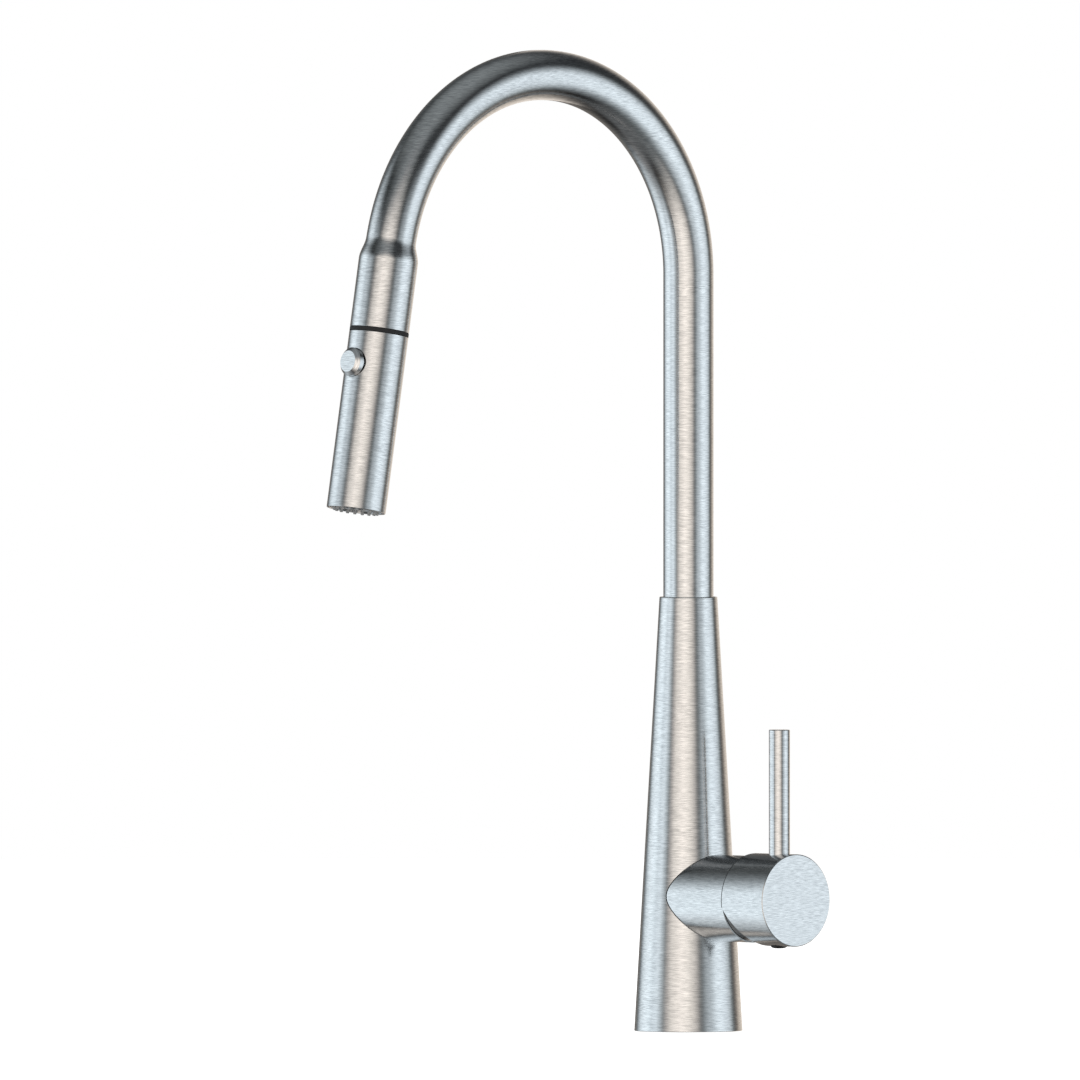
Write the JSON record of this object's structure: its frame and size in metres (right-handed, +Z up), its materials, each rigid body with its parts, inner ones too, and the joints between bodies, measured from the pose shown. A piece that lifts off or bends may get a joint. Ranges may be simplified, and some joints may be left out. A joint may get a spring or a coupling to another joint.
{
  "type": "pull down kitchen faucet",
  "caption": "Single-lever kitchen mixer with a tapered body, a swivelling gooseneck spout and a pull-down spray wand on an inner hose.",
  "frame": {"origin": "centre of the base's underside, on the deck plane", "axes": "+Z up along the body and the spout's swivel axis, -Y towards the spray wand, +X along the side valve towards the lever"},
  "size_m": [0.1061, 0.2657, 0.49],
  "materials": {
    "brushed_steel": "brushed across each tube",
    "brass": "machined",
    "copper_tube": "drawn copper tube",
    "stainless": "plain stainless wire and strip",
    "black_plastic": "satin",
    "white_plastic": "moulded",
    "grey_plastic": "moulded",
    "rubber": "matt",
    "silicone": "matt, soft nozzles",
    "ceramic": "lapped alumina ceramic",
    "braided_hose": "nylon braid",
    "magnet": "plated ring magnet"
  },
  "bodies": {
    "body": {"body_shell": "brushed_steel", "base_insert": "brass", "base_gasket": "rubber", "valve_manifold": "brass", "hot_supply_tube": "copper_tube", "cold_supply_tube": "copper_tube", "mixed_outlet_tube": "copper_tube", "swivel_bush_upper": "white_plastic", "swivel_bush_lower": "white_plastic", "swivel_friction_ring": "rubber", "cartridge_housing": "white_plastic", "cartridge_seal": "rubber", "cartridge_base": "grey_plastic", "fixed_ceramic_disc": "ceramic", "cartridge_nut": "brass", "cartridge_dome": "brushed_steel"},
    "spout": {"spout_tube": "brushed_steel", "spout_stem": "brass", "stem_circlip": "stainless", "dock_insert": "black_plastic", "dock_magnet": "magnet", "spray_hose": "braided_hose"},
    "hose_end": {"hose_end_fitting": "brass", "hose_end_oring": "rubber"},
    "wand": {"docking_ring": "black_plastic", "wand_neck": "black_plastic", "check_valve_body": "white_plastic", "wand_shell": "brushed_steel", "waterway": "grey_plastic", "spray_chamber": "white_plastic", "nozzle_mat": "silicone", "spray_face": "brushed_steel", "aerator_housing": "grey_plastic", "aerator_screen": "stainless"},
    "check_poppet": {"check_valve_poppet": "grey_plastic"},
    "button": {"spray_button": "brushed_steel", "diverter_spool": "black_plastic", "button_spring": "stainless"},
    "rotor": {"cartridge_rotor": "white_plastic", "stem_pin": "stainless"},
    "disc": {"disc_carrier": "grey_plastic", "moving_ceramic_disc": "ceramic"},
    "handle": {"cartridge_stem": "stainless", "handle_cap": "brushed_steel", "lever_rod": "brushed_steel", "set_screw": "stainless", "set_screw_plug": "rubber"}
  },
  "joints": [
    {"name": "spout_swivel", "type": "hinge", "parent": "body", "child": "spout", "pos_m": [0, 0, 0.208], "axis": [0, 0, 1], "range_deg": [-180, 180]},
    {"name": "wand_pull", "type": "slide", "parent": "spout", "child": "hose_end", "axis": [0, -0.1736, -0.9848], "range_m": [0, 0.24], "deforming": ["spray_hose"]},
    {"name": "wand_twist", "type": "hinge", "parent": "hose_end", "child": "wand", "pos_m": [0, -0.20126, 0.39381], "axis": [0, -0.1736, -0.9848], "continuous": true},
    {"name": "check_valve_open", "type": "slide", "parent": "wand", "child": "check_poppet", "axis": [0, -0.1736, -0.9848], "range_m": [0, 0.0015], "stiffness_N_per_m": 100},
    {"name": "spray_button_press", "type": "slide", "parent": "wand", "child": "button", "axis": [0, 0.9848, -0.1736], "range_m": [0, 0.0025], "stiffness_N_per_m": 800, "deforming": ["button_spring"]},
    {"name": "lever_turn", "type": "hinge", "parent": "body", "child": "rotor", "pos_m": [0.042, 0, 0.0664], "axis": [1, 0, 0], "range_deg": [-45, 45]},
    {"name": "lever_tilt", "type": "hinge", "parent": "rotor", "child": "handle", "pos_m": [0.042, 0, 0.0664], "axis": [0, 1, 0], "range_deg": [0, 25]},
    {"name": "disc_slide", "type": "slide", "parent": "rotor", "child": "disc", "axis": [0, 0, 1], "range_m": [0, 0.0038]}
  ],
  "couplings": [
    {"joint": "disc_slide", "follows": "lever_tilt", "m_per_rad": 0.0087}
  ]
}
